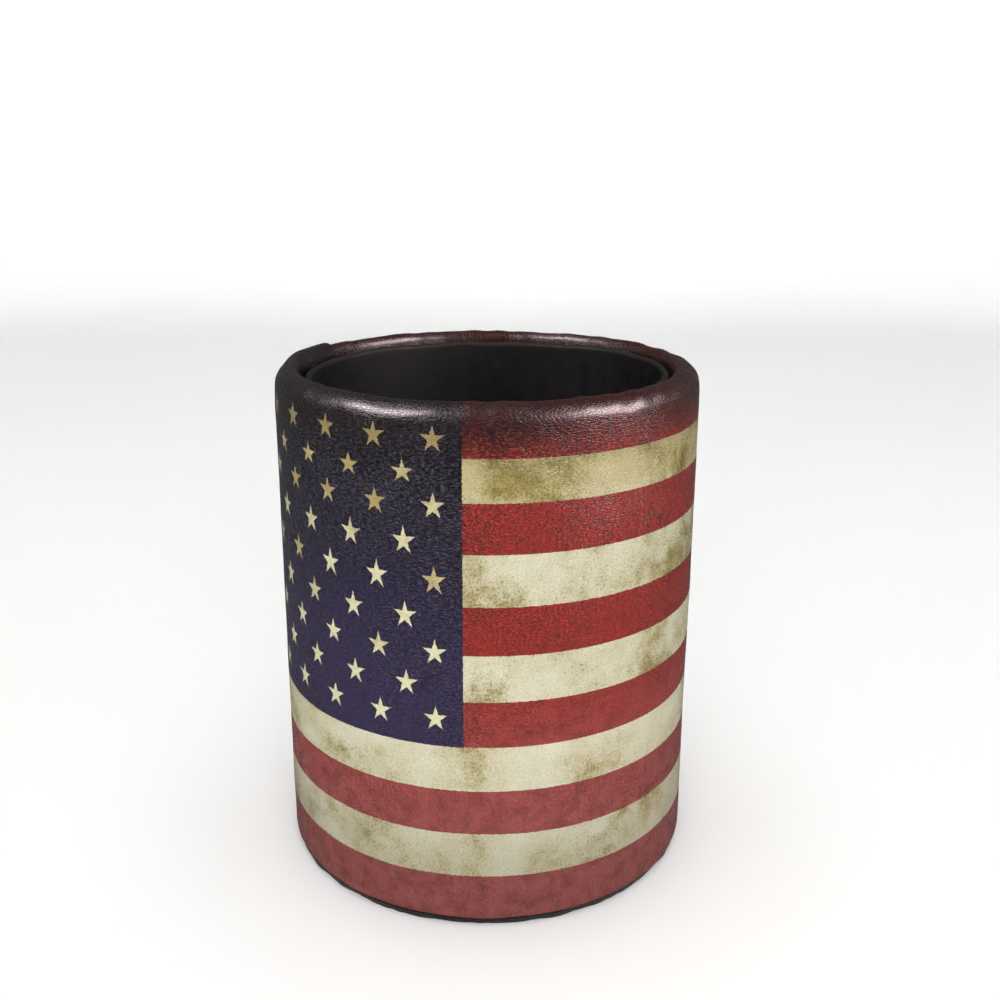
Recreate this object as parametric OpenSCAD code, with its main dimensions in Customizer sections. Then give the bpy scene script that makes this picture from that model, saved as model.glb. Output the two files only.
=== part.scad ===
// Pen holder cup: a greyboard tube wrapped in padded, printed faux leather,
// with a separate lined card sleeve pushed in from the top and a pad under the base.
// Origin: centre of the face that the cup stands on. +Z runs up the cup's axis.
// The front faces -Y. All sizes are in millimetres.

/* [Cup] */
// Outer diameter over the cover, clear of the lap
cup_d = 90; // [75:1:120]
// Height from the table to the crest of the rim
cup_h = 108; // [85:1:150]

/* [Cover] */
// Thickness of the faux leather cover
cover_t = 1.0; // [0.7:0.1:1.3]
// How far the cover is turned down inside the rim
turn_in_h = 15; // [10:1:25]
// How far the cover is turned in under the tube
turn_under_w = 6; // [4:0.5:10]
// Corner radius where the cover turns under the base
foot_r = 1.6; // [1.4:0.1:2.5]
// Corner radius of the rim on the outside, over the padding
rim_outer_r = 3.4; // [2.6:0.1:3.6]
// Corner radius of the rim on the inside
rim_inner_r = 1.8; // [1.4:0.1:2.6]

/* [Lap seam] */
// Direction of the middle of the lap, counted anticlockwise from +X
lap_a = 161; // [0:1:359]
// Width of the lap, along the outside of the cup
lap_w = 12.5; // [8:0.5:20]
// How far the upper ply of the lap stands proud
lap_rise = 0.7; // [0.4:0.1:0.9]

/* [Stiffening] */
// Thickness of the foam padding between the tube and the cover
padding_t = 1.2; // [0.8:0.1:2]
// Height of the padding over the top edge of the tube
rim_padding_h = 2.0; // [1:0.1:3]
// Wall of the greyboard tube
tube_t = 2.2; // [1.8:0.1:4]
// Thickness of the board disc that closes the tube
base_board_t = 2.4; // [1.5:0.1:4]
// Clearance of the board disc in the tube, at the radius
board_clearance = 0.1; // [0.05:0.05:0.3]

/* [Lining] */
// Thickness of the lining cloth
lining_t = 0.4; // [0.3:0.1:0.6]
// Thickness of the card under the lining
card_t = 0.9; // [0.7:0.1:1.6]
// Glue gap between the sleeve and the turned-in cover, at the radius
sleeve_gap = 0.3; // [0.1:0.1:0.5]
// How far the top edge of the sleeve lies below the crest of the rim
sleeve_drop = 1.8; // [1:0.1:4]
// How far the lining is turned down behind the card
lining_turn_h = 8; // [5:1:15]
// Clearance of the floor disc in the sleeve, at the radius
floor_gap = 0.3; // [0.1:0.1:0.5]

/* [Base pad] */
// Thickness of the pad that the cup stands on
base_pad_t = 1.0; // [0.8:0.1:2]
// How far the edge of the pad is set in from the cover
base_pad_inset = 0.8; // [0.5:0.1:3]

/* [Hidden] */
$fn = 144;
arc_steps = 6;     // straight pieces in a quarter circle of a wall's outline
lap_root = 0.3;    // how deep the upper ply is joined into the cover
crest_w = 0.2;     // flat left on the crest between the two corners of the rim

// Radii, from the outside in
cup_r = cup_d / 2;
padding_ro = cup_r - cover_t;
tube_ro = padding_ro - padding_t;
tube_ri = tube_ro - tube_t;
turn_in_ri = tube_ri - cover_t;
sleeve_ro = turn_in_ri - sleeve_gap;
card_ro = sleeve_ro - lining_t;
card_ri = card_ro - card_t;
bore_r = card_ri - lining_t;
floor_r = bore_r - floor_gap;

// Heights, from the table up
cover_z = base_pad_t;
tube_z = cover_z + cover_t;
floor_z = tube_z + base_board_t;
tube_top = cup_h - cover_t - rim_padding_h;
turn_in_z = cup_h - turn_in_h;
sleeve_top = cup_h - sleeve_drop;

// Corner radii of the cover, limited by the wall that each goes round
foot_corner_r = min(foot_r, cover_t + padding_t);
inner_corner_r = min(rim_inner_r, cover_t + rim_padding_h);
outer_corner_r = min(rim_outer_r, cup_r - turn_in_ri - inner_corner_r - crest_w);

// Points on an arc about [cx, cz] from angle a0 to angle a1
function arc(cx, cz, r, a0, a1) = [
    for (i = [0 : arc_steps])
        let (a = a0 + (a1 - a0) * i / arc_steps)
            [cx + r * cos(a), cz + r * sin(a)]
];

// Outline of the wall's section, pulled in by t: round the foot's corner, and over
// the rim, where the inner corner is turned through inner_a
function foot_arc(t) =
    arc(cup_r - foot_corner_r, cover_z + foot_corner_r, foot_corner_r - t, 270, 360);
function outer_arc(t) =
    arc(cup_r - outer_corner_r, cup_h - outer_corner_r, outer_corner_r - t, 0, 90);
function inner_arc(t, turn_a) =
    arc(turn_in_ri + inner_corner_r, cup_h - inner_corner_r, inner_corner_r - t, 90, 90 + turn_a);
function rim_arcs(t, inner_a = 90) = concat(outer_arc(t), inner_arc(t, inner_a));

function reversed(points) = [for (i = [len(points) - 1 : -1 : 0]) points[i]];

module revolved(points) {
    rotate_extrude() polygon(points);
}

module disc(r, z, h) {
    translate([0, 0, z]) cylinder(r = r, h = h);
}

// Faux leather wrap, turned over the rim and under the foot, with its ends lapped
module cover() {
    under_ri = cup_r - turn_under_w;
    color("#8c3f3a") {
        union() {
            revolved(concat(
                [[under_ri, cover_z]],
                foot_arc(0),
                rim_arcs(0),
                [[turn_in_ri, turn_in_z], [tube_ri, turn_in_z]],
                reversed(rim_arcs(cover_t)),
                reversed(foot_arc(cover_t)),
                [[under_ri, tube_z]]
            ));
            lap();
        }
    }
}

// Upper ply of the lap: it starts above the foot and runs out on top of the rim
module lap() {
    sweep_a = lap_w / cup_r * 180 / PI;
    lap_z = cover_z + foot_corner_r;
    rotate([0, 0, lap_a - sweep_a / 2])
        rotate_extrude(angle = sweep_a)
            polygon(concat(
                [[cup_r - lap_root, lap_z], [cup_r + lap_rise, lap_z]],
                rim_arcs(-lap_rise, 45),
                reversed(rim_arcs(lap_root, 45))
            ));
}

// Foam laid round the tube and over its top edge
module padding() {
    color("#d9d4c6")
        revolved(concat(
            [[tube_ro, tube_z]],
            foot_arc(cover_t),
            rim_arcs(cover_t),
            [[tube_ri, tube_top], [tube_ro, tube_top]]
        ));
}

// Greyboard tube that gives the cup its shape
module core_tube() {
    color("#8d8679")
        translate([0, 0, tube_z])
            difference() {
                cylinder(r = tube_ro, h = tube_top - tube_z);
                translate([0, 0, -1]) cylinder(r = tube_ri, h = tube_top - tube_z + 2);
            }
}

// Board disc glued in the foot of the tube
module base_board() {
    color("#9a9384") disc(tube_ri - board_clearance, tube_z, base_board_t);
}

// Rolled card that holds the lining round
module lining_card() {
    card_h = sleeve_top - lining_t - floor_z;
    color("#6f6a61")
        translate([0, 0, floor_z])
            difference() {
                cylinder(r = card_ro, h = card_h);
                translate([0, 0, -1]) cylinder(r = card_ri, h = card_h + 2);
            }
}

// Black lining inside the card, turned over its top edge and down behind it
module lining() {
    color("#1b1a1b")
        revolved([
            [bore_r, floor_z],
            [card_ri, floor_z],
            [card_ri, sleeve_top - lining_t],
            [card_ro, sleeve_top - lining_t],
            [card_ro, sleeve_top - lining_turn_h],
            [sleeve_ro, sleeve_top - lining_turn_h],
            [sleeve_ro, sleeve_top],
            [bore_r, sleeve_top]
        ]);
}

// Card disc of the cup's floor
module floor_card() {
    color("#6f6a61") disc(floor_r - lining_t, floor_z, card_t);
}

// Lining drawn over the floor disc and down round its edge
module floor_lining() {
    color("#1b1a1b")
        translate([0, 0, floor_z])
            difference() {
                cylinder(r = floor_r, h = card_t + lining_t);
                translate([0, 0, -1]) cylinder(r = floor_r - lining_t, h = card_t + 1);
            }
}

// Pad glued under the turned-in cover
module base_pad() {
    color("#242222") disc(cup_r - base_pad_inset, 0, base_pad_t);
}

cover();
padding();
core_tube();
base_board();
lining_card();
lining();
floor_card();
floor_lining();
base_pad();
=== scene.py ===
"""Looks of a desk pen cup: every sheet of it, its finishes, and the table it stands on.

Each operator makes one piece or one group of like pieces. Lengths are in metres, and the
distances on the flat sheets, which carry their print and grain, are in millimetres.
Azimuths run from the front, -Y, towards +X.
"""

import math

import bmesh
import bpy
import numpy as np
from mathutils import Matrix, Vector


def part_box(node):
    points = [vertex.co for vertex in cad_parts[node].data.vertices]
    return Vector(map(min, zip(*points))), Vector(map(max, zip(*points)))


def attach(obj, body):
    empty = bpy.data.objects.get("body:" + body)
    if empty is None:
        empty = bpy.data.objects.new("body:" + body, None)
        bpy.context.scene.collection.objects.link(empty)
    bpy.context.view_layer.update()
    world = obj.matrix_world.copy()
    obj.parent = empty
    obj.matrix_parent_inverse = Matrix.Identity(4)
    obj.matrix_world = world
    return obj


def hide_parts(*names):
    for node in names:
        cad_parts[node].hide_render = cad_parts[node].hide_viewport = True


bl_info = {
    "name": "Pen Holder Cup",
    "version": (1, 0, 0),
    "blender": (4, 5, 0),
    "location": "3D View > Sidebar > Pen Cup",
    "description": "Builds a round desk cup of printed faux leather with a black lined sleeve",
    "category": "Object",
}

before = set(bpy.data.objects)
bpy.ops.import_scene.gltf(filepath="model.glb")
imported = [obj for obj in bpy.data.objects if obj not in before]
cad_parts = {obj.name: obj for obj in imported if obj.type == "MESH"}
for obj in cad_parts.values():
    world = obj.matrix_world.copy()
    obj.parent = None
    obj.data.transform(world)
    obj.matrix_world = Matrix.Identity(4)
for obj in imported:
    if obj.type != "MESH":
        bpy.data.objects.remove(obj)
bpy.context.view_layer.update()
MM = 0.001


# ---------------- sizes from the frame


def ring(node):
    """Smallest and largest distance of a CAD node's corners from the cup's axis."""
    reach = [math.hypot(v.co.x, v.co.y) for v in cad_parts[node].data.vertices]
    return min(reach), max(reach)


def heights(node):
    """Lowest and highest z of a CAD node."""
    low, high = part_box(node)
    return low.z, high.z


def azimuth_of(point):
    """Direction of a point round the cup's axis, from the front towards +X."""
    return math.atan2(point.x, -point.y)


PAD_TOP = heights("base_pad")[1]
TUBE_Z, TUBE_TOP = heights("core_tube")
FLOOR_Z, SLEEVE_TOP = heights("lining")
COVER_T = TUBE_Z - PAD_TOP
CUP_R = ring("padding")[1] + COVER_T
CUP_H = heights("padding")[1] + COVER_T
TUBE_RI, TUBE_RO = ring("core_tube")
TURN_IN_R = TUBE_RI - COVER_T
BORE_R, SLEEVE_RO = ring("lining")
CARD_RI, CARD_RO = ring("lining_card")
CARD_TOP = heights("lining_card")[1]
FLOOR_R = ring("floor_lining")[1]
FLOOR_TOP = heights("floor_lining")[1]
PAD_R = ring("base_pad")[1]
LINING_T = CARD_RI - BORE_R
LAP_RISE = ring("cover")[1] - CUP_R
LAP = sorted(
    azimuth_of(v.co)
    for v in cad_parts["cover"].data.vertices
    if math.hypot(v.co.x, v.co.y) > CUP_R + LAP_RISE / 2
)
LAP_CUT, LAP_START = LAP[0], LAP[-1]  # where the upper ply ends, and where it begins to rise
FULL_TURN = 2 * math.pi


# ---------------- colours


def linear(code):
    """A colour written as sRGB hex, as the linear numbers that Blender works with."""
    parts = [int(code[i : i + 2], 16) / 255 for i in (1, 3, 5)]
    return tuple(c / 12.92 if c <= 0.04045 else ((c + 0.055) / 1.055) ** 2.4 for c in parts)


def opaque(tint):
    """A colour, as sRGB hex or as linear numbers, with the alpha that node sockets expect."""
    return (*(linear(tint) if isinstance(tint, str) else tint), 1.0)


def number(name, description, default, **more):
    """A number property."""
    return bpy.props.FloatProperty(name=name, description=description, default=default, **more)


def length(name, description, default):
    """A size property in metres."""
    return number(name, description, default, unit="LENGTH", subtype="DISTANCE", precision=5)


def count(name, description, default):
    """A property that counts things."""
    return bpy.props.IntProperty(name=name, description=description, default=default, min=1)


def colour(name, description, code):
    """A colour property."""
    return bpy.props.FloatVectorProperty(
        name=name, description=description, default=linear(code), size=3, subtype="COLOR",
        min=0.0, max=1.0,
    )


# ---------------- settings


class CupCoverSettings(bpy.types.PropertyGroup):
    """The wrapped cover: its turned edges, its unevenness and its print."""

    turn_in: length("Turned in", "How far the cover is turned down inside the rim", 0.015)
    turn_under: length("Turned under", "How far the cover is turned in under the cup", 0.006)
    foot_r: length("Foot corner", "Corner radius at the foot", 0.0016)
    rim_outer_r: length("Rim, outside", "Corner radius of the rim on the outside", 0.0034)
    rim_inner_r: length("Rim, inside", "Corner radius of the rim on the inside", 0.0018)
    drawn_h: length("Drawn in over", "Height under the crest over which the wall leans in", 0.009)
    drawn_in: length("Drawn in", "How far the padded wall leans in at the crest", 0.00045)
    unevenness: length("Unevenness", "How far the padded wall swells and dips", 0.00009)
    puckers: length("Puckers", "How deep the folds on the roll of the rim are", 0.00016)
    stripe_h: length("Stripe", "Height of one stripe of the print", 0.00962)
    stripe_foot: length("First edge", "Height of the lowest edge between two stripes", 0.01168)
    pull: length("Pull", "How far the print is dragged up near the rim", 0.0013)
    canton_side: length("Field side", "Where the starred field ends, left of the front", 0.00455)
    canton_foot: length("Field foot", "Height at which the starred field ends", 0.04045)
    star_side: length("First column", "Middle of the first column of stars, left of the front", 0.010)
    star_foot: length("First row", "Height of the lowest row of stars", 0.0462)
    star_column: length("Columns", "Distance between two columns of stars", 0.00587)
    star_row: length("Rows", "Distance between two rows of stars", 0.00694)
    star_r: length("Star", "Distance from the middle of a star to its tips", 0.00272)
    star_columns: count("Star columns", "Number of columns of stars", 11)
    star_rows: count("Star rows", "Number of rows of stars", 9)
    red: colour("Red", "Dark stripes", "#8e2620")
    pale: colour("Cream", "Light stripes and stars", "#cccab4")
    navy: colour("Navy", "Starred field", "#2f264a")
    stain: colour("Stain", "Olive stains in the light stripes", "#8d8042")
    rust: colour("Rust", "Brown stains in the light stripes", "#6a4a1e")
    burnt: colour("Burnt edge", "Where the print darkens towards the rim", "#17100f")
    backing: colour("Backing", "Knitted back and cut edges of the cover", "#3a3331")


class CupSleeveSettings(bpy.types.PropertyGroup):
    """The lined sleeve and the floor disc."""

    turn_down: length("Turned down", "How far the lining is turned down behind the card", 0.008)
    lean: length("Lean", "How far the top of the sleeve stands in from the rim at most", 0.0008)
    ripple: length("Ripple", "How uneven the top edge of the sleeve is", 0.0005)
    lining: colour("Lining", "Black lining", "#0f0e0f")
    # Grey of the top edge: partly rubbed nap, partly painted sheen.
    worn_edge_sheen: colour("Worn edge", "Rubbed nap along the top of the lining", "#3d3c38")
    card: colour("Card", "Raw card under the lining", "#6f675b")


class CupBodySettings(bpy.types.PropertyGroup):
    """What stiffens and pads the cup, and the pad that it stands on."""

    foam: colour("Foam", "Foam sheet round the tube", "#d9d4c6")
    board: colour("Greyboard", "Tube and base disc", "#8d8679")
    felt: colour("Felt", "Pad under the cup", "#110f0f")
    felt_rag: length("Ragged edge", "How unevenly the pad is cut", 0.0002)


class CupStageSettings(bpy.types.PropertyGroup):
    """The table, the light and the camera."""

    distance: length("Distance", "From the cup's axis to the camera, along the table", 0.2492)
    height: length("Height", "Height of the camera over the table", 0.1531)
    tilt: number(
        "Tilt", "How far the camera looks down", math.radians(16.99), subtype="ANGLE",
        unit="ROTATION",
    )
    lens: number("Lens", "Focal length in millimetres on a 36 mm sensor", 42.44)
    shift: number("Shift", "Sideways shift of the picture", 0.013)
    floor: colour("Floor", "Paper sweep that the cup stands on", "#f6f8f8")
    sky: number("Sky", "Strength of the even light from all round", 0.11)
    top: number("Top", "Power of the softbox overhead", 5.7, subtype="POWER")
    key: number("Key", "Power of the large softbox in front", 4.3, subtype="POWER")
    side: number("Side", "Power of each softbox that glosses the rim", 8.8, subtype="POWER")
    backdrop: number("Backdrop", "Power of each light on the paper behind", 3.4, subtype="POWER")


# ---------------- sheets as meshes


def arc(middle, radius, start, end, steps):
    """Points (r, z) on an arc of the wall's section, with angles in degrees."""
    angle = np.radians(np.linspace(start, end, steps + 1))
    return np.array(middle) + radius * np.column_stack([np.cos(angle), np.sin(angle)])


def line(start, end, steps):
    """Points (r, z) on a straight stretch of the wall's section."""
    return np.linspace(start, end, steps + 1)


def joined(*runs):
    """Runs of section points as one, with the corners that two share kept once."""
    return np.vstack([runs[0], *(run[1:] for run in runs[1:])])


def measured(points):
    """Section points with their normals and the distance along them."""
    tangents = np.gradient(points, axis=0)
    normals = np.column_stack([tangents[:, 1], -tangents[:, 0]])
    normals /= np.linalg.norm(normals, axis=1)[:, None]
    steps = np.linalg.norm(np.diff(points, axis=0), axis=1)
    return points, normals, np.concatenate([[0.0], np.cumsum(steps)])


def smooth(x):
    """Eases from 0 to 1 as x goes from 0 to 1."""
    x = np.clip(x, 0.0, 1.0)
    return x * x * (3 - 2 * x)


def window(x, start, end, soft):
    """1 between start and end, and 0 away from them."""
    return smooth((x - start) / soft + 1) * smooth((end - x) / soft + 1)


def drift(seed, azimuth, along, cell, stretch=1.0):
    """Smooth random numbers from -1 to 1 on the wall, in patches about cell wide and stretch
    times as long. They join up all the way round."""
    azimuth, along = np.broadcast_arrays(azimuth, along)
    spots = max(3, round(FULL_TURN * CUP_R / cell))
    y = (along - along.min()) / (cell * stretch)
    grid = np.random.default_rng(seed).uniform(-1, 1, (spots, int(y.max()) + 2))
    x = azimuth / FULL_TURN % 1.0 * spots
    i, j = np.floor(x).astype(int) % spots, np.floor(y).astype(int)
    fx, fy = smooth(x - np.floor(x)), smooth(y - j)
    near = grid[i, j] * (1 - fx) + grid[(i + 1) % spots, j] * fx
    far = grid[i, j + 1] * (1 - fx) + grid[(i + 1) % spots, j + 1] * fx
    return near * (1 - fy) + far * fy


def padded_wall(s, depth, below, steps, end_z):
    """Section of the padded wall at a depth under its outer face: the runs below it, then
    round the foot, up the side, over the rim and down inside it to end_z. steps counts the
    straight pieces of the foot, the side, the rim's two corners and the inside. The side
    and the rim are drawn in a little towards the crest."""
    foot = (CUP_R - s.foot_r, PAD_TOP + s.foot_r)
    outer = (CUP_R - s.rim_outer_r, CUP_H - s.rim_outer_r)
    inner = (TURN_IN_R + s.rim_inner_r, CUP_H - s.rim_inner_r)
    points = joined(
        *below,
        arc(foot, s.foot_r - depth, -90, 0, steps[0]),
        line((CUP_R - depth, foot[1]), (CUP_R - depth, outer[1]), steps[1]),
        arc(outer, s.rim_outer_r - depth, 0, 90, steps[2]),
        line((outer[0], CUP_H - depth), (inner[0], CUP_H - depth), 1),
        arc(inner, s.rim_inner_r - depth, 90, 180, steps[3]),
        line((TURN_IN_R + depth, inner[1]), (TURN_IN_R + depth, end_z), steps[4]),
    )
    rise = np.clip((points[:, 1] - (CUP_H - s.drawn_h)) / s.drawn_h, 0.0, 1.0)
    points[:, 0] -= s.drawn_in * rise**2 * smooth((points[:, 0] - TURN_IN_R) / (3 * MM))
    return measured(points)


def raised(points, normals, rise):
    """Section points moved out by rise, which varies along the section and round the cup."""
    return points[:, None] + normals[:, None] * rise[..., None]


def turned(points, azimuth):
    """Section points, rows by columns or rows alone, set round the cup's axis."""
    if points.ndim == 2:
        points = np.repeat(points[:, None], len(azimuth), axis=1)
    r, z = points[..., 0], points[..., 1]
    return np.stack([r * np.sin(azimuth), -r * np.cos(azimuth), z + 0 * azimuth], axis=-1)


def cells(grid):
    """What a grid holds at the four corners of each of its cells."""
    return [grid[:-1, :-1], grid[:-1, 1:], grid[1:, 1:], grid[1:, :-1]]


def shell(name, face, back, knots, azimuth, radius, along, closed=False):
    """A sheet with a face, a back and edges. face and back are section points, rows by
    columns or rows alone, which are turned through the azimuths, and back row k lies behind
    face row knots[k]. The flat sheet measures azimuth times radius by along. Material slot 0
    is the face and slot 1 the back and edges."""
    face, back = turned(face, azimuth), turned(back, azimuth)
    rows, cols = face.shape[:2]
    front = np.arange(rows * cols).reshape(rows, cols)
    rear = rows * cols + np.arange(len(back) * cols).reshape(len(back), cols)
    flat_u, flat_v = azimuth * radius / MM, along / MM
    # The bake's map is one square, with a strip of its height for each band of faces.
    u01 = np.linspace(0.002, 0.998, cols + 1 if closed else cols)
    v01 = 0.12 + 0.878 * (flat_v - flat_v[0]) / (flat_v[-1] - flat_v[0])
    if closed:
        front, rear = (np.hstack([grid, grid[:, :1]]) for grid in (front, rear))
        flat_u = np.append(flat_u, flat_u[0] + FULL_TURN * CUP_R / MM)
    bands = [  # grid of corners, its v on the flat sheet, its v on the bake's map, its slot
        (front, flat_v, v01, 0),
        (rear[::-1], flat_v[knots][::-1], np.linspace(0.02, 0.10, len(back)), 1),
        (np.vstack([rear[:1], front[:1]]), flat_v[[0, 0]], np.array([0.001, 0.006]), 1),
        (np.vstack([front[-1:], rear[-1:]]), flat_v[[-1, -1]], np.array([0.010, 0.015]), 1),
    ]
    corners, sheet, bake, slots = [], [], [], []
    for grid, v, v_map, slot in bands:
        corners.append(np.stack(cells(grid), -1).reshape(-1, 4))
        for maps, across, up in ((sheet, flat_u, v), (bake, u01, v_map)):
            place = np.stack(np.meshgrid(across, up), -1)
            maps.append(np.stack(cells(place), -2).reshape(-1, 2))
        slots += [slot] * len(corners[-1])
    faces = np.vstack(corners).tolist()
    if not closed:
        for column, order in ((0, 1), (cols - 1, -1)):
            for k in range(len(knots) - 1):
                strip = [*front[knots[k] : knots[k + 1] + 1, column], rear[k + 1, column]]
                strip = [int(corner) for corner in [*strip, rear[k, column]]][::order]
                faces.append(strip)
                level = flat_v[knots[k]] + np.linspace(0, 1, len(strip))
                sheet.append(np.column_stack([np.full(len(strip), flat_u[column]), level]))
                turn = np.linspace(0, FULL_TURN, len(strip), endpoint=False)
                dot = np.column_stack([np.cos(turn), np.sin(turn)]) * 0.001
                bake.append(dot + [0.004 + 0.99 * k / len(knots), 0.110 + 0.004 * order])
                slots.append(1)
    mesh = bpy.data.meshes.new(name)
    mesh.from_pydata(np.vstack([face.reshape(-1, 3), back.reshape(-1, 3)]).tolist(), [], faces)
    for layer, parts in (("sheet", sheet), ("OFBake", bake)):
        values = np.vstack(parts).astype(np.float32).ravel()
        mesh.uv_layers.new(name=layer).data.foreach_set("uv", values)
    mesh.polygons.foreach_set("material_index", slots)
    mesh.polygons.foreach_set("use_smooth", [True] * len(faces))
    mesh.set_sharp_from_angle(angle=math.radians(50))
    piece = bpy.data.objects.new(name, mesh)
    bpy.context.scene.collection.objects.link(piece)
    return piece


def weld(piece, distance=1e-6):
    """Joins corners that lie on one point, as at the middle of a disc."""
    mesh = bmesh.new()
    mesh.from_mesh(piece.data)
    bmesh.ops.remove_doubles(mesh, verts=mesh.verts, dist=distance)
    mesh.to_mesh(piece.data)
    mesh.free()


def dress(piece, face, back=None):
    """Gives a sheet the material of its face, and that of its back and edges if they differ."""
    for material in (face, back or face):
        piece.data.materials.append(material)


def finish_piece(piece, slot, *nodes):
    """Gives a piece its body and hides the CAD nodes it stands for; slot is not used."""
    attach(piece, "root")
    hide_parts(*nodes)


# ---------------- materials

EASED = {"interpolation_type": "SMOOTHSTEP"}
FLAT = {"noise_dimensions": "2D"}  # noise that lies on the flat sheet
EDGES = {"voronoi_dimensions": "2D", "feature": "DISTANCE_TO_EDGE"}

# All in millimetres on the flat sheet
PRINT_FOOT, PRINT_TOP = 6.0, 105.0  # the light stripes are printed between these heights
CUSHION = (1.0, 0.44)  # length and height of the grain's cushions, near the smallest that show
STREAK = (1.1, 0.34)  # length and height of the streaks in which it comes and goes
CREASE = (16.0, 3.2)  # length and width of the net of creases
BLOTCH, MOTTLE, SPECK = 16, 3.5, 0.5  # sizes of the three kinds of weathering
STAINS = (  # middle and reach of the larger stains
    ((1.0, 93.0), 7.0), ((15.0, 95.0), 5.0), ((46.0, 90.0), 16.0), ((3.0, 70.0), 9.0),
    ((48.0, 70.0), 13.0), ((0.0, 53.0), 8.0), ((40.0, 48.0), 9.0), ((24.0, 17.0), 12.0),
    ((-40.0, 15.0), 12.0), ((-30.0, 34.0), 9.0), ((100.0, 60.0), 26.0), ((-110.0, 90.0), 22.0),
)


def shown(sockets):
    """The sockets of a node that its settings leave in use."""
    return [socket for socket in sockets if socket.enabled]


def add(tree, kind, *values, **named):
    """Adds a shader node. values fill its shown sockets in order. named holds its properties,
    and with a capital and underscores for spaces, more of its sockets. A node given as a
    value is linked from its first shown output, and a colour needs no alpha."""
    node = tree.nodes.new("ShaderNode" + kind)
    rest = {name: value for name, value in named.items() if name[0].isupper()}
    for name, value in named.items():
        if name not in rest:
            setattr(node, name, value)
    inputs = shown(node.inputs)
    by_name = {socket.name.replace(" ", "_"): socket for socket in reversed(inputs)}
    pairs = [*zip(inputs, values), *((by_name[name], rest[name]) for name in rest)]
    for socket, value in pairs:
        if isinstance(value, bpy.types.Node):
            value = shown(value.outputs)[0]
        if isinstance(value, bpy.types.NodeSocket):
            tree.links.new(value, socket)
        elif value is not None:
            socket.default_value = opaque(value) if socket.type == "RGBA" else value
    return node


def summed(tree, start, *parts):
    """A pattern with others added to it, each given with its weight."""
    for pattern, weight in parts:
        start = add(tree, "Math", pattern, weight, start, operation="MULTIPLY_ADD")
    return start


def painted(tree, ground, *coats):
    """A ground colour under coats of ink, each given as where it lies, its colour and, where
    it doesn't cover fully, its strength."""
    for where, ink, *strength in coats:
        for share in strength:
            where = add(tree, "Math", where, share, operation="MULTIPLY")
        ground = add(tree, "Mix", where, ground, ink, data_type="RGBA")
    return ground


def new_material(name, tint, **sockets):
    """A material with its node tree and its shader, whose sockets have these constants."""
    material = bpy.data.materials.new(name)
    material.use_nodes = True
    material.diffuse_color = opaque(tint)
    shader = material.node_tree.nodes["Principled BSDF"]
    for key, value in {"Base_Color": opaque(tint), **sockets}.items():
        shader.inputs[key.replace("_", " ")].default_value = value
    return material, material.node_tree, shader


def connect(tree, shader, shade, height=None, roughness=None):
    """Links a material's patterns to its shader. The height is in millimetres."""
    patterns = {"Base Color": shade, "Roughness": roughness}
    if height is not None:
        patterns["Normal"] = add(tree, "Bump", Distance=MM, Height=height)
    for name, node in patterns.items():
        if node is not None:
            tree.links.new(shown(node.outputs)[0], shader.inputs[name])


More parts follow.
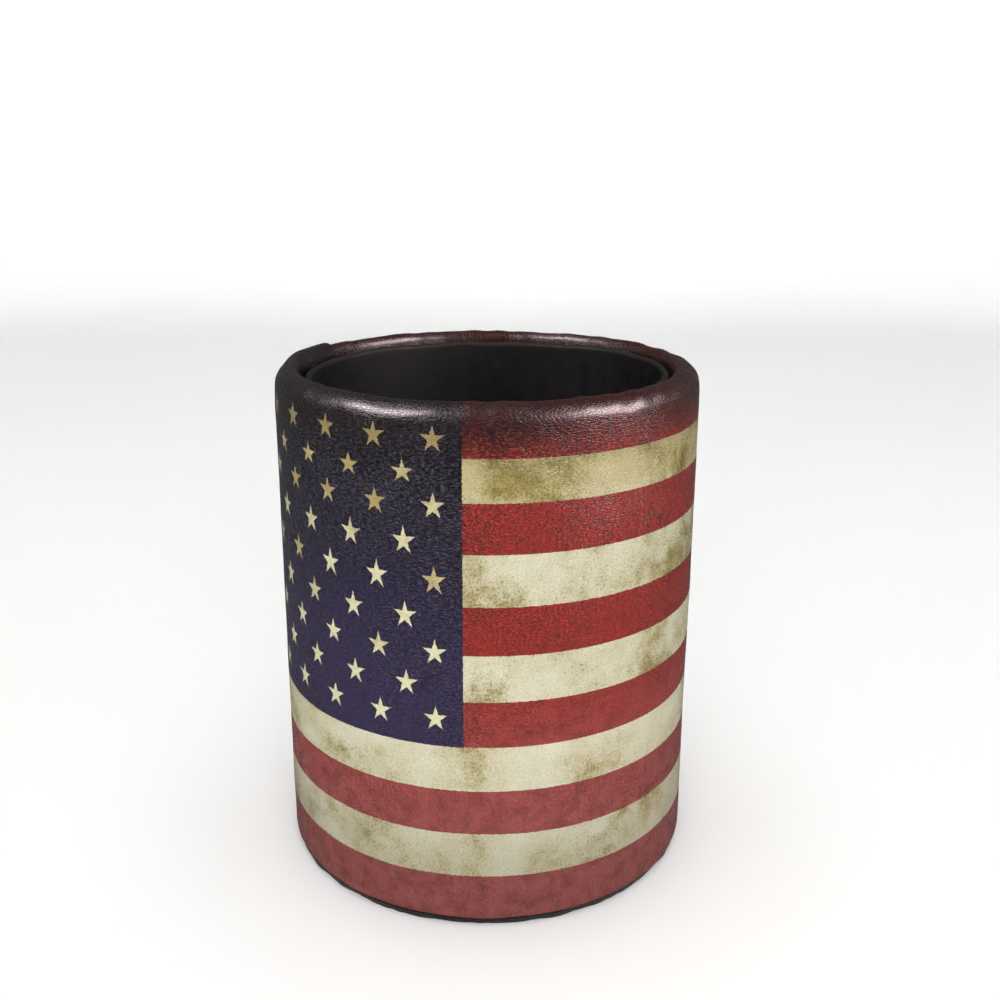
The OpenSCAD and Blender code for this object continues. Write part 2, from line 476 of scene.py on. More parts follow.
def stripes_and_field(tree, u, v, s):
    """How far each spot of the sheet lies inside a light stripe, the field and a star, in mm,
    which stars are kept, and a number for each star."""
    # Turning the sheet over the rim dragged the print up, most at 88 to 90 mm.
    rise = add(tree, "MapRange", v, 62.0, 88.0, 0.0, s.pull / MM, **EASED)
    fall = add(tree, "MapRange", v, 90.0, 99.5, 1.0, 0.0, **EASED)
    pull = add(tree, "Math", rise, fall, operation="MULTIPLY")
    level = add(tree, "Math", v, pull, operation="SUBTRACT")

    stripe, first = s.stripe_h / MM, s.stripe_foot / MM
    phase = add(tree, "Math", level, 1 / stripe, 0.5 - first / stripe, operation="MULTIPLY_ADD")
    wave = add(tree, "Math", phase, 1.0, operation="PINGPONG")
    light = add(tree, "Math", wave, stripe, -stripe / 2, operation="MULTIPLY_ADD")
    for high, low in ((PRINT_TOP, v), (v, PRINT_FOOT)):
        inside = add(tree, "Math", high, low, operation="SUBTRACT")
        light = add(tree, "Math", light, inside, operation="MINIMUM")

    side = add(tree, "Math", -s.canton_side / MM, u, operation="SUBTRACT")
    foot = add(tree, "Math", level, s.canton_foot / MM, operation="SUBTRACT")
    field = add(tree, "Math", side, foot, operation="MINIMUM")

    # The stars stand on every other crossing of their rows and columns. Counted along the
    # two diagonals, they stand on every crossing.
    pitch_u, pitch_v = s.star_column / MM, s.star_row / MM
    first_column, first_row = s.star_side / s.star_column, s.star_foot / s.star_row
    column = add(tree, "Math", u, -1 / pitch_u, -first_column, operation="MULTIPLY_ADD")
    row = add(tree, "Math", level, 1 / pitch_v, -first_row, operation="MULTIPLY_ADD")
    crossings = []
    for operation in ("ADD", "SUBTRACT"):
        diagonal = add(tree, "Math", column, row, operation=operation)
        diagonal = add(tree, "Math", diagonal, 0.5, operation="MULTIPLY")
        crossings.append(add(tree, "Math", diagonal, operation="ROUND"))
    star_column = add(tree, "Math", *crossings, operation="ADD")
    star_row = add(tree, "Math", *crossings, operation="SUBTRACT")
    narrow = 1.12  # the sheet is stretched upwards, so a star is narrower than it is high
    off_column = add(tree, "Math", star_column, column, operation="SUBTRACT")
    across = add(tree, "Math", off_column, pitch_u * narrow, operation="MULTIPLY")
    off_row = add(tree, "Math", row, star_row, operation="SUBTRACT")
    up = add(tree, "Math", off_row, pitch_v, operation="MULTIPLY")

    # Distance inside the line from a tip to the next notch, folded over all five points
    tip = s.star_r / MM
    notch = 0.37 * tip
    half_point = math.pi / 5
    lean = math.atan2(tip - notch * math.cos(half_point), notch * math.sin(half_point))
    reach = add(tree, "VectorMath", add(tree, "CombineXYZ", across, up), operation="LENGTH")
    turn = add(tree, "Math", across, up, operation="ARCTAN2")
    fold = add(tree, "Math", turn, half_point, operation="PINGPONG")
    slant = add(tree, "Math", add(tree, "Math", fold, lean, operation="SUBTRACT"), operation="COSINE")
    star = add(tree, "Math", reach, slant, operation="MULTIPLY")
    star = add(tree, "Math", tip * math.cos(lean), star, operation="SUBTRACT")
    kept = 1.0
    for place, stars in ((star_column, s.star_columns), (star_row, s.star_rows)):
        half = (stars - 1) / 2
        counted = add(tree, "Math", place, half, half + 0.5, operation="COMPARE")
        kept = add(tree, "Math", counted, kept, operation="MULTIPLY")
    return light, field, star, kept, add(tree, "CombineXYZ", star_column, star_row)


def inked(tree, distance, ragged, soft=0.07):
    """1 where the ink lies, with an edge as ragged and soft as the print's."""
    uneven = add(tree, "Math", distance, ragged, operation="ADD")
    return add(tree, "MapRange", uneven, -soft, soft, 0.0, 1.0, **EASED)


def bent_by(tree, sheet, cell, reach):
    """The sheet's coordinates pushed about by up to half of reach, in patches about cell wide."""
    push = add(tree, "TexNoise", sheet, **FLAT, Scale=1 / cell, Detail=2.0)
    push = add(tree, "VectorMath", push.outputs["Color"], (-0.5, -0.5, -0.5), operation="ADD")
    return add(tree, "VectorMath", push, reach, sheet, operation="MULTIPLY_ADD")


def crinkle(tree, sheet, v):
    """Embossed grain: low cushions parted by fine valleys that come and go in streaks, and a
    few creases. Returns how deep in a valley a spot is, where a cushion top takes a painted
    glint, how deep in a crease, and the height in mm."""
    swept = bent_by(tree, sheet, 22.0, (5.0, 4.0, 0.0))
    bent = bent_by(tree, swept, 0.9, (0.45, 0.22, 0.0))
    grain, streaks = (
        add(tree, "VectorMath", bent, (1 / wide, 1 / high, 1.0), operation="MULTIPLY")
        for wide, high in (CUSHION, STREAK)
    )
    edge = add(tree, "TexVoronoi", grain, **EDGES, Scale=1.0, Randomness=1.0)
    cushion = add(tree, "MapRange", edge, 0.0, 0.20, 0.0, 1.0, interpolation_type="SMOOTHERSTEP")
    streak = add(tree, "TexNoise", streaks, **FLAT, Scale=1.0, Detail=2.0)
    gaps = add(tree, "MapRange", streak, 0.64, 0.42, 0.55, 1.0, **EASED)
    valley = add(tree, "MapRange", edge, 0.03, 0.18, 1.0, 0.0, **EASED)
    valley = add(tree, "Math", valley, gaps, operation="MULTIPLY")
    # Cushion tops in streaks, which take painted glints.
    glint_ridge = add(tree, "MapRange", streak, 0.42, 0.62, 0.0, 1.0, **EASED)
    glint_ridge = add(tree, "Math", glint_ridge, cushion, operation="MULTIPLY")

    net = add(
        tree, "Mapping", bent_by(tree, sheet, 7.0, (5.0, 5.0, 0.0)), vector_type="TEXTURE",
        Rotation=(0.0, 0.0, math.radians(-38)), Scale=(*CREASE, 1.0),
    )
    net = add(tree, "TexVoronoi", net, **EDGES, Scale=1.0)
    crease = add(tree, "MapRange", net, 0.0, 0.05, 0.8, 0.0, **EASED)
    where = add(tree, "TexNoise", sheet, **FLAT, Scale=0.06, Detail=2.0)
    some = add(tree, "MapRange", where, 0.44, 0.60, 0.0, 1.0, **EASED)
    crease = add(tree, "Math", crease, some, operation="MULTIPLY")

    fine = add(tree, "TexNoise", sheet, **FLAT, Scale=1 / 0.4, Detail=3.0)
    height = summed(tree, 0.0, (streak, 0.006), (cushion, 0.021), (fine, 0.002), (crease, -0.03))
    # The sheet is stretched smooth towards the foot, and a little more in some patches.
    depth = add(tree, "MapRange", v, 5.0, 88.0, 0.34, 1.0)
    patchy = add(tree, "Math", where, 0.5, operation="ADD")
    depth = add(tree, "Math", patchy, depth, operation="MULTIPLY")
    return [
        add(tree, "Math", part, depth, operation="MULTIPLY")
        for part in (valley, glint_ridge, crease, height)
    ]


def printed_faux_leather(s):
    """Faux leather: polyurethane skin cast on a knitted back, printed and then embossed with
    a crinkle grain between rollers. The eye gets crisp ink edges, painted shade in the
    valleys, and a half-gloss that breaks up into small glints on the cushions, where more
    glints are painted on."""
    material, tree, shader = new_material("printed_faux_leather", s.red, IOR=1.5)
    sheet = add(tree, "UVMap", uv_map="sheet")
    axes = add(tree, "SeparateXYZ", sheet)
    u, v = axes.outputs["X"], axes.outputs["Y"]
    light, field, star, kept, star_id = stripes_and_field(tree, u, v, s)
    valley, glint_ridge, crease, height = crinkle(tree, sheet, v)

    fray = add(tree, "TexNoise", sheet, **FLAT, Scale=1.8, Detail=3.0)
    ragged = add(tree, "Math", fray, 0.35, -0.175, operation="MULTIPLY_ADD")
    light, field, star = (inked(tree, part, ragged) for part in (light, field, star))
    star = add(tree, "Math", star, kept, operation="MULTIPLY")

    # Weathering that is part of the print: broad patches, mottling and specks. It is heaviest
    # in the stains, and takes the light stripes through olive to brown.
    patch, mottle, speck = (
        add(tree, "TexNoise", sheet, **FLAT, Scale=1 / size, Detail=detail, Roughness=rough)
        for size, detail, rough in ((BLOTCH, 4.0, 0.6), (MOTTLE, 6.0, 0.68), (SPECK, 3.0, 0.6))
    )
    age = add(tree, "MapRange", v, 15.0, 98.0, -0.10, 0.00)
    for place, reach in STAINS:
        away = add(tree, "VectorMath", sheet, (*place, 0.0), operation="DISTANCE")
        spill = add(tree, "MapRange", away, 0.0, reach, 0.22, 0.0, **EASED)
        age = add(tree, "Math", age, spill, operation="ADD")
    soiled = summed(tree, age, (patch, 1.0), (mottle, 0.5))
    tinge, stain, rust = (
        add(tree, "MapRange", soiled, start, end, 0.0, most, **EASED)
        for start, end, most in ((0.66, 1.02, 0.5), (0.84, 1.06, 0.7), (0.98, 1.16, 0.6))
    )
    dots = summed(tree, speck, (soiled, 0.60))
    dots = add(tree, "MapRange", dots, 1.02, 1.18, 0.0, 0.50, **EASED)
    dusk = add(tree, "MapRange", v, 84.0, 95.0, 0.0, 0.75, **EASED)
    speckle = add(tree, "MapRange", speck, 0.30, 0.70, -1.00, -0.50)
    speckle = summed(tree, speckle, (mottle, 0.9), (patch, 1.6))
    cream = painted(
        tree, s.pale, (speckle, "#b1a67c"), (dusk, "#aa9a62"), (tinge, s.stain),
        (stain, s.stain), (rust, s.rust), (dots, "#675628"),
    )

    # Low down the dark stripes are paler, partly faded print and partly a painted reflection of
    # the pale floor, and the cushion tops are painted with glints.
    faded_and_floor_sheen = add(tree, "MapRange", v, 64.0, 14.0, 0.0, 0.80, **EASED)
    blotch = add(tree, "MapRange", mottle, 0.40, 0.70, 0.0, 0.55)
    red = painted(tree, s.red, (faded_and_floor_sheen, "#a05b5a"), (blotch, "#5f1c1c"), (glint_ridge, "#b03a2a", 0.6))

    # The field is darker high up, and its cushion tops are painted with pale glints.
    cloud = add(tree, "MapRange", mottle, 0.35, 0.70, 0.0, 0.4)
    deep = add(tree, "MapRange", v, 56.0, 96.0, 0.0, 1.0)
    navy = painted(tree, s.navy, (cloud, "#2c2433"), (deep, "#0b0c12"), (glint_ridge, "#4b4859", 0.7))

    # Some stars are yellowed, more of them high up.
    lot = add(tree, "TexWhiteNoise", star_id, **FLAT)
    high = add(tree, "MapRange", v, 50.0, 92.0, 0.0, 0.75)
    golden = summed(tree, high, (lot, 0.40), (mottle, 0.8))
    golden = add(tree, "MapRange", golden, 0.80, 1.35, 0.0, 0.85, **EASED)
    star_ink = painted(tree, "#cbc8a2", (golden, "#978046"))

    # Towards the rim the print is burnt dark, less so on the stars, and the cushion tops there
    # get painted glints.
    burn = summed(tree, v, (patch, 9.0), (glint_ridge, -2.5))
    burn = add(tree, "MapRange", burn, 97.5, 109.5, 0.0, 0.90, **EASED)
    spared = add(tree, "Math", star, -0.55, 1.0, operation="MULTIPLY_ADD")
    burn = add(tree, "Math", burn, spared, operation="MULTIPLY")
    # On the burnt edge the cushion tops are painted with grey glints.
    burnt = painted(tree, "#1c0907", (field, s.burnt), (glint_ridge, "#2e2625", 0.7))

    # Painted shade darkens the valleys and creases, hardly at all on the light inks, and the
    # print is darker towards the foot.
    plain = add(tree, "Math", 1.0, field, operation="SUBTRACT")
    pale = add(tree, "Math", plain, light, operation="MULTIPLY")
    pale = add(tree, "Math", pale, star, operation="MAXIMUM")
    hold = add(tree, "MapRange", pale, 0.0, 1.0, 0.85, 0.16)
    valley_shade = add(tree, "Math", valley, crease, operation="MAXIMUM")
    valley_shade = add(tree, "Math", valley_shade, hold, operation="MULTIPLY")
    # Darker towards the foot.
    darker_low = add(tree, "MapRange", v, 4.0, 42.0, 0.36, 0.0, **EASED)
    ink = painted(
        tree, red, (light, cream), (field, navy), (star, star_ink), (burn, burnt),
        (darker_low, "#30261f"), (valley_shade, "#120d0d"),
    )
    rough = add(tree, "MapRange", mottle, 0.3, 0.7, 0.22, 0.28)
    rough = summed(tree, rough, (valley_shade, 0.2))
    connect(tree, shader, ink, height, rough)
    return material


def knitted_backing(s):
    """Knitted polyester back of the faux leather: matt, with rows of fine loops that are too
    small to show and so are drawn 0.6 mm apart."""
    material, tree, shader = new_material(
        "knitted_backing", s.backing, Roughness=0.9, Sheen_Weight=0.2, IOR=1.46
    )
    sheet = add(tree, "UVMap", uv_map="sheet")
    loops = add(
        tree, "TexWave", sheet, wave_type="BANDS", bands_direction="Y",
        Scale=1 / 0.6 / math.pi, Distortion=2.0, Detail=2.0,
    )
    shade = painted(tree, s.backing, (loops, "#241f1e"))
    connect(tree, shader, shade, summed(tree, 0.0, (loops, 0.08)))
    return material


def black_lining_leather(s):
    """Thin black faux leather, cast on a fine cloth with a soft grain of about 0.5 mm: satin
    and nearly even inside, and grey where it turns over the top of the card, partly rubbed
    nap and partly painted sheen."""
    material, tree, shader = new_material(
        "black_lining_leather", s.lining, IOR=1.46, Specular_IOR_Level=0.15
    )
    sheet = add(tree, "UVMap", uv_map="sheet")
    v = add(tree, "SeparateXYZ", sheet).outputs["Y"]
    soft = add(tree, "TexNoise", sheet, **FLAT, Scale=0.35, Detail=5.0)
    grain = add(
        tree, "TexVoronoi", sheet, voronoi_dimensions="2D", feature="SMOOTH_F1",
        Scale=1 / 0.5,
    )
    nap = add(tree, "TexNoise", sheet, **FLAT, Scale=4.0, Detail=4.0)
    # The top edge is painted grey, partly rubbed nap and partly painted sheen.
    near = add(tree, "MapRange", v, 0.4, 1.4, 0.0, 0.5, **EASED)
    far = add(tree, "MapRange", v, 1.8, 3.0, 1.0, 0.0, **EASED)
    rub_and_sheen = add(tree, "Math", near, far, operation="MULTIPLY")
    rub_and_sheen = add(tree, "Math", rub_and_sheen, nap, operation="MULTIPLY")
    shade = painted(tree, s.lining, (soft, "#181717"), (rub_and_sheen, s.worn_edge_sheen))
    rough = add(tree, "MapRange", soft, 0.3, 0.7, 0.5, 0.66)
    connect(tree, shader, shade, summed(tree, 0.0, (grain, -0.05), (nap, 0.035)), rough)
    return material


def raw_board(name, tint, fleck):
    """Grey board or card, pressed from recycled paper pulp and left raw: matt, with a faint
    cloud and short fibre flecks about 0.4 mm wide and 1.5 mm long."""
    material, tree, shader = new_material(name, tint, Roughness=0.88, IOR=1.45)
    place = add(tree, "TexCoord").outputs["Object"]
    long_way = add(tree, "Mapping", place, Scale=(1 / 1.5, 1 / 1.5, 1 / 0.4))
    fibres = add(tree, "TexNoise", long_way, Scale=1 / MM, Detail=3.0)
    cloud = add(tree, "TexNoise", place, Scale=1 / (9 * MM), Detail=3.0)
    flecks = add(tree, "MapRange", fibres, 0.56, 0.70, 0.0, 0.8)
    shade = painted(tree, tint, (cloud, [c * 0.7 for c in tint]), (flecks, fleck))
    connect(tree, shader, shade, summed(tree, 0.0, (fibres, 0.05)))
    return material


def foam_sheet(s):
    """Polyethylene foam sheet, blown and cut: pale and matt, with closed cells about 0.5 mm
    across that show as a fine froth."""
    material, tree, shader = new_material(
        "foam_sheet", s.foam, Roughness=0.85, Subsurface_Weight=0.1, IOR=1.4
    )
    place = add(tree, "TexCoord").outputs["Object"]
    froth = add(tree, "TexVoronoi", place, Scale=1 / (0.5 * MM))
    shade = painted(tree, "#e6e1d5", (froth, s.foam))
    connect(tree, shader, shade, summed(tree, 0.0, (froth, -0.12)))
    return material


def needle_felt(s):
    """Black needle-punched felt: matt with a soft sheen, from tangled fibres that are too thin
    to show and so are drawn 0.5 mm apart, and a few grey bits of lint."""
    material, tree, shader = new_material(
        "needle_felt", s.felt,
        Roughness=0.95, Sheen_Weight=0.08, Sheen_Roughness=0.6, IOR=1.46,
    )
    place = add(tree, "TexCoord").outputs["Object"]
    tangle = add(tree, "TexNoise", place, Scale=1 / (0.5 * MM), Detail=6.0, Distortion=1.5)
    lint = add(tree, "MapRange", tangle, 0.62, 0.72, 0.0, 0.6)
    shade = painted(tree, s.felt, (lint, "#5b5754"))
    connect(tree, shader, shade, summed(tree, 0.0, (tangle, 0.25)))
    return material


def paper_sweep(s):
    """White background paper, rolled smooth and matt, with the faintest cloud in its pulp."""
    material, tree, shader = new_material("paper_sweep", s.floor, Roughness=0.75, IOR=1.45)
    place = add(tree, "TexCoord").outputs["Object"]
    cloud = add(tree, "TexNoise", place, Scale=12.0, Detail=3.0)
    shade = painted(tree, s.floor, (cloud, [c * 0.985 for c in s.floor]))
    connect(tree, shader, shade)
    return material


# ---------------- operators


class CUP_OT_cover(bpy.types.Operator):
    """Makes the printed cover: one sheet wrapped round the cup, turned over the rim and under
    the foot, with its starred end lapped over its striped end"""

    bl_idname = "cup.make_cover"
    bl_label = "Cover"

    def execute(self, context):
        s = context.scene.cup_cover
        under = line((CUP_R - s.turn_under, PAD_TOP), (CUP_R - s.foot_r, PAD_TOP), 4)
        points, normals, along = padded_wall(
            s, 0.0, [under], (6, 112, 12, 8, 10), CUP_H - s.turn_in
        )
        on_side = points[:, 0] >= CUP_R - 1e-7
        start = int(np.argmax(on_side & (points[:, 1] >= PAD_TOP + s.foot_r - 1e-7)))
        v = along - along[start] + points[start, 1]
        azimuth = np.linspace(LAP_CUT, LAP_START + FULL_TURN, 396)
        knots = self.back_rows(points)

        rise, below = self.plies(azimuth, v[:, None])
        face = raised(points, normals, rise + self.relief(s, azimuth, v[:, None]))
        back = raised(points[knots], normals[knots], below[knots])
        cover = shell("printed_cover", face, back, knots, azimuth, CUP_R, v)
        dress(cover, printed_faux_leather(s), knitted_backing(s))
        finish_piece(cover, "printed_faux_leather", "cover")
        return {"FINISHED"}

    def back_rows(self, points):
        """Rows of the face that the back follows: all at the corners, few on the side."""
        side = np.flatnonzero(np.abs(points[:, 0] - CUP_R) < 1e-7)
        few = side[1:-1][np.arange(len(side) - 2) % 10 != 5]
        return np.setdiff1d(np.arange(len(points)), few)

    def plies(self, azimuth, v):
        """How far the face and the back of the cover lie out from its plain outline. The
        upper ply of the lap runs down to the cover over 12 degrees, and the end of the lower
        one is pared thin beneath it."""
        deg = math.radians(1)
        over = 1 - smooth((azimuth - LAP_START + 2 * deg) / (12 * deg))
        tucked = 1 - smooth((azimuth - LAP_START) / (2.0 * deg))
        beneath = smooth((azimuth - LAP_CUT - FULL_TURN) / (3.0 * deg))
        crest = CUP_H + 2 * MM
        fat = (
            0.15 + 0.85 * smooth((v - 1 * MM) / (4 * MM))
            + 0.1 * window(v, crest - 3 * MM, crest + 2 * MM, 3 * MM)
            - 0.7 * smooth((v - crest - 4 * MM) / (4 * MM))
        )
        pared = -0.5 * MM * (1 - np.clip(fat, 0, 1))
        rise = over * LAP_RISE * fat + beneath * pared
        below = -COVER_T * (1 - tucked) + tucked * (pared + 0.02 * MM)
        return rise, below

    def relief(self, s, azimuth, v):
        """Swells and dips of the padded wall, and puckers where the sheet turns over the rim."""
        swell = drift(3, azimuth, v, 22 * MM) + 0.45 * drift(4, azimuth, v, 9 * MM)
        swell = swell + 0.25 * drift(5, azimuth, v, 3.5 * MM, 0.7)
        roll = window(v, CUP_H - 1 * MM, CUP_H + 5 * MM, 3 * MM)
        pucker = drift(6, azimuth, v, 3.2 * MM, 2.2) + 0.5 * drift(7, azimuth, v, 7 * MM)
        foot = 1 - smooth((v - 1 * MM) / (3 * MM))
        inside = smooth((v - CUP_H - 6 * MM) / (4 * MM))
        shape = s.unevenness * swell * (1 - foot) + s.puckers * pucker * roll
        shape = shape + 0.1 * MM * foot * drift(8, azimuth, v, 6 * MM)
        return shape * (1 - 0.6 * inside)


class CUP_OT_padding(bpy.types.Operator):
    """Makes the foam sheet that is laid round the tube and over its top edge"""

    bl_idname = "cup.make_padding"
    bl_label = "Padding"

    def execute(self, context):
        foot_rows, side_rows = 4, 24
        points, normals, along = padded_wall(
            context.scene.cup_cover, COVER_T, [], (foot_rows, side_rows, 8, 5, 2), TUBE_TOP
        )
        rim = foot_rows + side_rows
        knots = np.array([0, *range(foot_rows, rim, 6), rim, len(points) - 1])
        back = np.array([(TUBE_RO, z) for z in np.linspace(TUBE_Z, TUBE_TOP, len(knots) - 1)])
        back = np.vstack([back, [(TUBE_RI, TUBE_TOP)]])
        azimuth = np.linspace(0, FULL_TURN, 180, endpoint=False)
        dent = 0.03 * MM * (drift(21, azimuth, along[:, None], 12 * MM) - 1)
        dent[-1] = 0
        face = raised(points, normals, dent)
        foam = shell("foam_padding", face, back, knots, azimuth, CUP_R, along, closed=True)
        dress(foam, foam_sheet(context.scene.cup_body))
        finish_piece(foam, "foam_padding", "padding")
        return {"FINISHED"}


class CUP_OT_carcass(bpy.types.Operator):
    """Finishes the greyboard tube, the base board and the card disc of the floor"""

    bl_idname = "cup.make_carcass"
    bl_label = "Tube and boards"

    def execute(self, context):
        board = raw_board("greyboard", context.scene.cup_body.board, "#5d564b")
        card = raw_board("sleeve_card", context.scene.cup_sleeve.card, "#a39a88")
        for node, material in (("core_tube", board), ("base_board", board), ("floor_card", card)):
            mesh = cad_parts[node].data
            mesh.materials.clear()
            mesh.materials.append(material)
        return {"FINISHED"}


class CUP_OT_sleeve(bpy.types.Operator):
    """Makes the rolled card of the sleeve and the black lining that is drawn over it"""

    bl_idname = "cup.make_sleeve"
    bl_label = "Lined sleeve"

    def execute(self, context):
        s = context.scene.cup_sleeve
        butt = math.radians(-30)  # where both were rolled round to meet, behind the front wall
        gap = 0.15 * MM / BORE_R
        azimuth = np.linspace(butt + gap / 2, butt + FULL_TURN - gap / 2, 300)
        self.lining(s, azimuth)
        self.card(s, azimuth)
        return {"FINISHED"}

    def leaned(self, s, points, azimuth):
        """Section points set in and up by the sleeve's lean and the ripple of its top edge."""
        level = points[:, 1, None]
        inward = 0.45 + 0.55 * drift(31, azimuth, 0.0, 34 * MM)
        inward = inward + 0.15 * drift(32, azimuth, 0.0, 9 * MM)
        upper = smooth((level - (SLEEVE_TOP - 26 * MM)) / (26 * MM))
        ripple = drift(33, azimuth, 0.0, 30 * MM) + 0.35 * drift(34, azimuth, 0.0, 7 * MM)
        share = smooth((level - (SLEEVE_TOP - 12 * MM)) / (10 * MM))
        placed = np.repeat(points[:, None], len(azimuth), axis=1)
        placed[..., 0] -= s.lean * np.clip(inward, 0.05, 1.0) * upper
        placed[..., 1] += s.ripple * ripple * share
        return placed

    def lining(self, s, azimuth):
        """The lining: up behind the card, over its top edge and down the inside."""
        fold_r = (SLEEVE_RO - BORE_R) / 2
        middle = (BORE_R + fold_r, SLEEVE_TOP - fold_r)
        points, normals, along = measured(joined(
            line((SLEEVE_RO, SLEEVE_TOP - s.turn_down), (SLEEVE_RO, middle[1]), 8),
            arc(middle, fold_r, 0, 180, 12),
            line((BORE_R, middle[1]), (BORE_R, FLOOR_Z), 90),
        ))
        v = along - (s.turn_down - fold_r)
        level = v[:, None]
        wave = 0.07 * drift(41, azimuth, level, 14 * MM) + 0.03 * drift(42, azimuth, level, 5 * MM)
        wave = wave * smooth(level / (3 * MM)) * MM
        face = self.leaned(s, points, azimuth) + normals[:, None] * wave[..., None]
        last = len(points) - 1
        knots = np.array([*range(21), *range(30, last, 10), last])  # close round the top edge
        back = points[knots] - normals[knots] * LINING_T
        back = self.leaned(s, back, azimuth)
        piece = shell("sleeve_lining", face, back, knots, azimuth, BORE_R, v)
        dress(piece, black_lining_leather(s))
        finish_piece(piece, "black_lining", "lining")

    def card(self, s, azimuth):
        """The rolled card, which leans and ripples with the lining."""
        inside, _, along = measured(line((CARD_RI, CARD_TOP), (CARD_RI, FLOOR_Z), 24))
        outside = inside + [CARD_RO - CARD_RI, 0]
        face, back = (self.leaned(s, side, azimuth) for side in (inside, outside))
        rows = np.arange(len(inside))
        piece = shell("sleeve_card", face, back, rows, azimuth, CARD_RI, along)
        dress(piece, raw_board("rolled_card", s.card, "#a39a88"))
        finish_piece(piece, "sleeve_card", "lining_card")


class CUP_OT_floor(bpy.types.Operator):
    """Makes the lining that is drawn over the floor disc and down round its edge"""

    bl_idname = "cup.make_floor"
    bl_label = "Floor lining"

    def execute(self, context):
        edge_r = 0.5 * MM
        middle = (FLOOR_R - edge_r, FLOOR_TOP - edge_r)
        points, normals, along = measured(joined(
            line((FLOOR_R, FLOOR_Z), (FLOOR_R, middle[1]), 2),
            arc(middle, edge_r, 0, 90, 5),
            line((middle[0], FLOOR_TOP), (0.0, FLOOR_TOP), 40),
        ))
        azimuth = np.linspace(0, FULL_TURN, 160, endpoint=False)
        reach = points[:, 0, None]
        sunk = 0.12 * MM * smooth((FLOOR_R - reach) / (6 * MM)) * smooth(reach / (8 * MM))
        face = raised(points, normals, sunk * drift(51, azimuth, reach, 30 * MM, 0.5))
        knots = np.array([0, 1, 2, 4, 7, 20, 34, len(points) - 1])
        back = points[knots] - normals[knots] * LINING_T
        back[-1, 0] = 0.0
        piece = shell("floor_disc_lining", face, back, knots, azimuth, FLOOR_R, along, closed=True)
        weld(piece)
        dress(piece, bpy.data.materials["black_lining_leather"])
        finish_piece(piece, "black_lining", "floor_lining")
        return {"FINISHED"}


class CUP_OT_base_pad(bpy.types.Operator):
    """Makes the felt pad that the cup stands on"""

    bl_idname = "cup.make_base_pad"
    bl_label = "Base pad"

    def execute(self, context):
        s = context.scene.cup_body
        lip = PAD_TOP / 4
        points, _, along = measured(joined(
            line((0.0, 0.0), (PAD_R - lip, 0.0), 20),
            arc((PAD_R - lip, lip), lip, -90, 0, 3),
            line((PAD_R, lip), (PAD_R, PAD_TOP), 3),
        ))
        azimuth = np.linspace(0, FULL_TURN, 360, endpoint=False)
        rag = drift(61, azimuth, 0.0, 5 * MM) + 0.6 * drift(62, azimuth, 0.0, 1.6 * MM)
        face, back = (
            np.repeat(np.array(run)[:, None], len(azimuth), axis=1)
            for run in (points, [(0.0, PAD_TOP), (PAD_R / 2, PAD_TOP)])
        )
        near_edge = smooth((points[:, 0, None] - PAD_R + 3 * MM) / (3 * MM))
        face[..., 0] += s.felt_rag * rag * near_edge
        back = np.vstack([back, face[-1:] - [0.02 * MM, 0]])
        knots = np.array([0, 10, len(points) - 1])
        piece = shell("felt_base_pad", face, back, knots, azimuth, PAD_R, along, closed=True)
        weld(piece)
        dress(piece, needle_felt(s))
        finish_piece(piece, "base_felt", "base_pad")
        return {"FINISHED"}


LAMP_WHITE = (1.0, 0.97, 0.96)
LAMP_ROSE = (1.0, 0.85, 0.88)


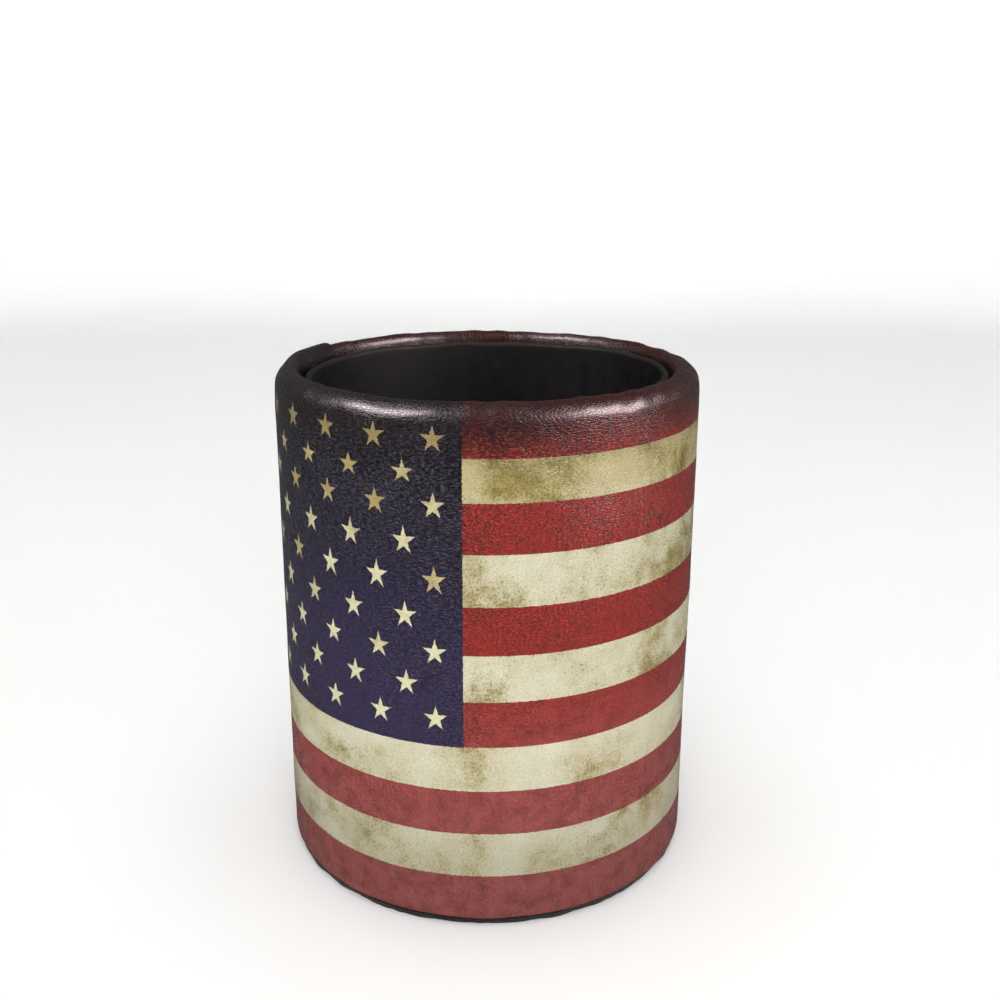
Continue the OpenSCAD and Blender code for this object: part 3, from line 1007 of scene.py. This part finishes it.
class CUP_OT_stage(bpy.types.Operator):
    """Makes the paper sweep, the light and the camera"""

    bl_idname = "cup.make_stage"
    bl_label = "Table, light and camera"

    def execute(self, context):
        s = context.scene.cup_stage
        self.floor(s)
        self.light(context.scene, s)
        self.camera(context.scene, s)
        return {"FINISHED"}

    def floor(self, s):
        """A round table that curves up into a low wall all the way round."""
        reach, corner, wall_top, paper_t = 0.9, 0.35, 0.9, 0.01
        points, normals, along = measured(joined(
            line((0.0, 0.0), (reach, 0.0), 6),
            arc((reach, corner), corner, -90, 0, 16),
            line((reach + corner, corner), (reach + corner, wall_top), 2),
        ))
        azimuth = np.linspace(0, FULL_TURN, 96, endpoint=False)
        under, rows = points + normals * paper_t, np.arange(len(points))
        floor = shell("paper_floor", under, points, rows, azimuth, CUP_R, along, closed=True)
        weld(floor)
        dress(floor, paper_sweep(s))
        floor.visible_glossy = False

    def light(self, scene, s):
        """Even light from all round. A large softbox in front and one overhead shape the cup,
        and one at each side only glosses its rim."""
        world = bpy.data.worlds.new("studio")
        world.use_nodes = True
        sky = world.node_tree.nodes["Background"]
        sky.inputs["Color"].default_value = (1.0, 0.995, 0.985, 1.0)
        sky.inputs["Strength"].default_value = s.sky
        scene.world = world
        scene.view_settings.view_transform = "Standard"
        boxes = (  # name, power, width and height, direction from the rim and along its width
            ("key", s.key, (0.8, 0.5), (0.0, -0.88, 0.47), (1, 0, 0)),
            ("top", s.top, (0.9, 0.9), (0.0, 0.0, 1.0), (1, 0, 0)),
            ("side_left", 0.8 * s.side, (0.34, 0.24), (-0.68, -0.31, 0.66), (-0.45, 0.57, -0.24)),
            ("side_right", s.side, (0.42, 0.34), (0.86, -0.34, 0.43), (0.37, 0.93, -0.10)),
        )
        for name, power, size, direction, along in boxes:
            away = Vector(direction).normalized()
            gloss = name.startswith("side")
            place = Vector((0, 0, CUP_H)) + away * (0.6 if gloss else 0.95)
            holder = self.lamp(scene, name, power, size, place, away, along)
            holder.visible_glossy, holder.visible_diffuse = gloss, not gloss
            holder.data.color = LAMP_ROSE if gloss else LAMP_WHITE
        for i in range(6):  # lights that face the paper all round, away from the cup
            turn = math.radians(60 * i)
            out = Vector((math.sin(turn), math.cos(turn), 0))
            place = out * 0.70 + Vector((0, 0, 0.75))
            self.lamp(scene, f"backdrop_{i}", s.backdrop, (0.5, 0.3), place, -out, (0, 0, 1))

    def lamp(self, scene, name, power, size, place, behind, along):
        """One softbox at a place, with its back to one direction and its width along another."""
        lamp = bpy.data.lights.new(name, "AREA")
        lamp.shape = "RECTANGLE"
        lamp.size, lamp.size_y = size
        lamp.energy, lamp.color = power, LAMP_WHITE
        holder = bpy.data.objects.new(name, lamp)
        wide = Vector(along)
        wide = (wide - behind * wide.dot(behind)).normalized()
        turn = Matrix((wide, behind.cross(wide), behind)).transposed()
        holder.matrix_world = Matrix.Translation(place) @ turn.to_4x4()
        scene.collection.objects.link(holder)
        return holder

    def camera(self, scene, s):
        """A camera in front of the cup, level from side to side and looking down at it."""
        data = bpy.data.cameras.new("camera")
        data.lens, data.sensor_width, data.shift_x = s.lens, 36.0, s.shift
        data.clip_start = 0.01
        camera = bpy.data.objects.new("camera", data)
        camera.location = (0.0, -s.distance, s.height)
        camera.rotation_euler = (math.pi / 2 - s.tilt, 0.0, 0.0)
        scene.collection.objects.link(camera)
        scene.camera = camera


# ---------------- sidebar and registration

STEPS = (
    CUP_OT_stage, CUP_OT_cover, CUP_OT_padding, CUP_OT_carcass, CUP_OT_sleeve, CUP_OT_floor,
    CUP_OT_base_pad,
)
SETTINGS = {
    "cup_cover": CupCoverSettings,
    "cup_sleeve": CupSleeveSettings,
    "cup_body": CupBodySettings,
    "cup_stage": CupStageSettings,
}


class CUP_PT_sidebar(bpy.types.Panel):
    """Lists the settings and the steps that build the cup"""

    bl_idname = "CUP_PT_sidebar"
    bl_label = "Pen Holder Cup"
    bl_space_type = "VIEW_3D"
    bl_region_type = "UI"
    bl_category = "Pen Cup"

    def draw(self, context):
        for step in STEPS:
            self.layout.operator(step.bl_idname)
        for name, group in SETTINGS.items():
            box = self.layout.box()
            for key in group.__annotations__:
                box.prop(getattr(context.scene, name), key)


def register():
    """Registers the settings, the steps and the sidebar."""
    for group in (*SETTINGS.values(), *STEPS, CUP_PT_sidebar):
        bpy.utils.register_class(group)
    for name, group in SETTINGS.items():
        setattr(bpy.types.Scene, name, bpy.props.PointerProperty(type=group))


def unregister():
    """Takes away what register added."""
    for name in SETTINGS:
        delattr(bpy.types.Scene, name)
    for group in reversed((*SETTINGS.values(), *STEPS, CUP_PT_sidebar)):
        bpy.utils.unregister_class(group)


def main():
    """Builds the whole cup."""
    register()
    for step in STEPS:
        family, name = step.bl_idname.split(".")
        getattr(getattr(bpy.ops, family), name)()


if __name__ == "__main__":
    main()
